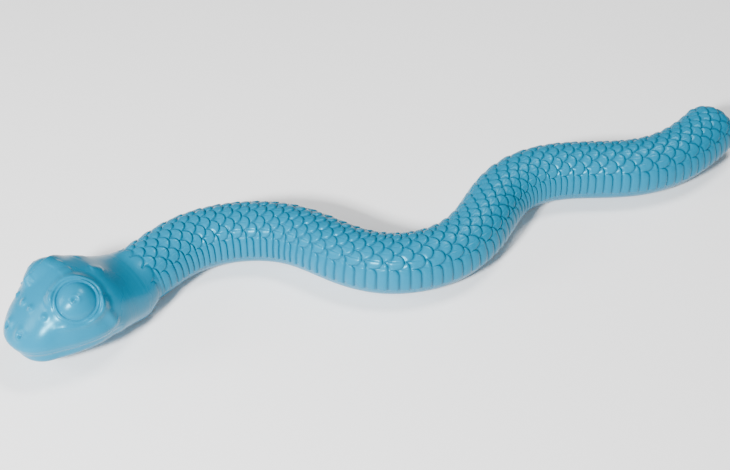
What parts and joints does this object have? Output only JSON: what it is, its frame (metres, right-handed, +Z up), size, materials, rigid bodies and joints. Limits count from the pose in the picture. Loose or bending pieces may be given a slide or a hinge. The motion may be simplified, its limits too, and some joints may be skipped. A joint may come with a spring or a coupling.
{
  "type": "flexible snake toy",
  "caption": "Soft S-curved snake toy with a domed-eyed head, raised overlapping scales, ribbed sides and a blunt round tail; it bends and twists along its length.",
  "frame": {"origin": "on the surface the toy lies on, under the middle of its overall length and width", "axes": "+X along the toy's length from the head end towards the tail end, +Y across it, +Z up out of the surface it lies on"},
  "size_m": [0.4342, 0.0947, 0.0474],
  "materials": {
    "soft_rubber": "glossy moulded soft rubber"
  },
  "bodies": {
    "head": {"head": "soft_rubber"},
    "neck": {"neck": "soft_rubber"},
    "body_01": {"body_01": "soft_rubber"},
    "body_02": {"body_02": "soft_rubber"},
    "body_03": {"body_03": "soft_rubber"},
    "body_04": {"body_04": "soft_rubber"},
    "body_05": {"body_05": "soft_rubber"},
    "body_06": {"body_06": "soft_rubber"},
    "body_07": {"body_07": "soft_rubber"},
    "body_08": {"body_08": "soft_rubber"},
    "body_09": {"body_09": "soft_rubber"},
    "body_10": {"body_10": "soft_rubber"},
    "body_11": {"body_11": "soft_rubber"},
    "body_12": {"body_12": "soft_rubber"},
    "body_13": {"body_13": "soft_rubber"},
    "body_14": {"body_14": "soft_rubber"},
    "body_15": {"body_15": "soft_rubber"},
    "body_16": {"body_16": "soft_rubber"},
    "body_17": {"body_17": "soft_rubber"},
    "body_18": {"body_18": "soft_rubber"},
    "body_19": {"body_19": "soft_rubber"},
    "tail": {"tail": "soft_rubber"}
  },
  "joints": [
    {"name": "head_lift", "type": "hinge", "parent": "neck", "child": "head", "pos_m": [-0.15926, 0.00729, 0.0145], "axis": [-0.3907, 0.9205, 0], "range_deg": [-9, 9], "stiffness_Nm_per_rad": 2},
    {"name": "neck_side_bend", "type": "hinge", "parent": "body_01", "child": "neck", "pos_m": [-0.1332, 0.02, 0.0145], "axis": [0.01, 0, 0.9999], "range_deg": [-12, 12], "stiffness_Nm_per_rad": 2},
    {"name": "body_01_side_bend", "type": "hinge", "parent": "body_02", "child": "body_01", "pos_m": [-0.11663, 0.0279, 0.0145], "axis": [0.01, 0, 0.9999], "range_deg": [-12, 12], "stiffness_Nm_per_rad": 2},
    {"name": "body_02_side_bend", "type": "hinge", "parent": "body_03", "child": "body_02", "pos_m": [-0.09855, 0.03077, 0.0145], "axis": [0.01, 0, 0.9999], "range_deg": [-12, 12], "stiffness_Nm_per_rad": 2},
    {"name": "body_03_lift", "type": "hinge", "parent": "body_04", "child": "body_03", "pos_m": [-0.0804, 0.02806, 0.0145], "axis": [0.2756, 0.9613, 0], "range_deg": [-9, 9], "stiffness_Nm_per_rad": 2},
    {"name": "body_04_side_bend", "type": "hinge", "parent": "body_05", "child": "body_04", "pos_m": [-0.06358, 0.02074, 0.0145], "axis": [0.01, 0, 0.9999], "range_deg": [-12, 12], "stiffness_Nm_per_rad": 2},
    {"name": "body_05_twist", "type": "hinge", "parent": "body_06", "child": "body_05", "pos_m": [-0.04987, 0.00862, 0.0145], "axis": [0.6157, -0.788, 0], "range_deg": [-9, 9], "stiffness_Nm_per_rad": 1.2},
    {"name": "body_06_side_bend", "type": "hinge", "parent": "body_07", "child": "body_06", "pos_m": [-0.03893, -0.00617, 0.0145], "axis": [0.01, 0, 0.9999], "range_deg": [-12, 12], "stiffness_Nm_per_rad": 2},
    {"name": "body_07_side_bend", "type": "hinge", "parent": "body_08", "child": "body_07", "pos_m": [-0.02642, -0.01959, 0.0145], "axis": [0.01, 0, 0.9999], "range_deg": [-12, 12], "stiffness_Nm_per_rad": 2},
    {"name": "body_08_lift", "type": "hinge", "parent": "body_09", "child": "body_08", "pos_m": [-0.01027, -0.02817, 0.0145], "axis": [0.2924, 0.9563, 0], "range_deg": [-9, 9], "stiffness_Nm_per_rad": 2},
    {"name": "body_09_side_bend", "type": "hinge", "parent": "body_10", "child": "body_09", "pos_m": [0.00789, -0.03056, 0.0145], "axis": [0.01, 0, 0.9999], "range_deg": [-12, 12], "stiffness_Nm_per_rad": 2},
    {"name": "body_11_twist", "type": "hinge", "parent": "body_10", "child": "body_11", "pos_m": [0.0257, -0.02645, 0.0145], "axis": [0.9135, 0.4067, 0], "range_deg": [-9, 9], "stiffness_Nm_per_rad": 1.2},
    {"name": "body_12_side_bend", "type": "hinge", "parent": "body_11", "child": "body_12", "pos_m": [0.04126, -0.01673, 0.0145], "axis": [0.01, 0, 0.9999], "range_deg": [-12, 12], "stiffness_Nm_per_rad": 2},
    {"name": "body_13_side_bend", "type": "hinge", "parent": "body_12", "child": "body_13", "pos_m": [0.05504, -0.00454, 0.0145], "axis": [0.01, 0, 0.9999], "range_deg": [-12, 12], "stiffness_Nm_per_rad": 2},
    {"name": "body_14_lift", "type": "hinge", "parent": "body_13", "child": "body_14", "pos_m": [0.07023, 0.00571, 0.0145], "axis": [-0.4226, 0.9063, 0], "range_deg": [-9, 9], "stiffness_Nm_per_rad": 2},
    {"name": "body_15_side_bend", "type": "hinge", "parent": "body_14", "child": "body_15", "pos_m": [0.08797, 0.01013, 0.0145], "axis": [0.01, 0, 0.9999], "range_deg": [-12, 12], "stiffness_Nm_per_rad": 2},
    {"name": "body_16_twist", "type": "hinge", "parent": "body_15", "child": "body_16", "pos_m": [0.10617, 0.00806, 0.0145], "axis": [0.9613, -0.2756, 0], "range_deg": [-9, 9], "stiffness_Nm_per_rad": 1.2},
    {"name": "body_17_side_bend", "type": "hinge", "parent": "body_16", "child": "body_17", "pos_m": [0.12356, 0.00207, 0.0145], "axis": [0.01, 0, 0.9999], "range_deg": [-12, 12], "stiffness_Nm_per_rad": 2},
    {"name": "body_18_side_bend", "type": "hinge", "parent": "body_17", "child": "body_18", "pos_m": [0.141, -0.00376, 0.0145], "axis": [0.01, 0, 0.9999], "range_deg": [-12, 12], "stiffness_Nm_per_rad": 2},
    {"name": "body_19_lift", "type": "hinge", "parent": "body_18", "child": "body_19", "pos_m": [0.15921, -0.00584, 0.0145], "axis": [-0.0349, 0.9994, 0], "range_deg": [-9, 9], "stiffness_Nm_per_rad": 2},
    {"name": "tail_side_bend", "type": "hinge", "parent": "body_19", "child": "tail", "pos_m": [0.17731, -0.00281, 0.0145], "axis": [0.01, 0, 0.9999], "range_deg": [-12, 12], "stiffness_Nm_per_rad": 2}
  ]
}
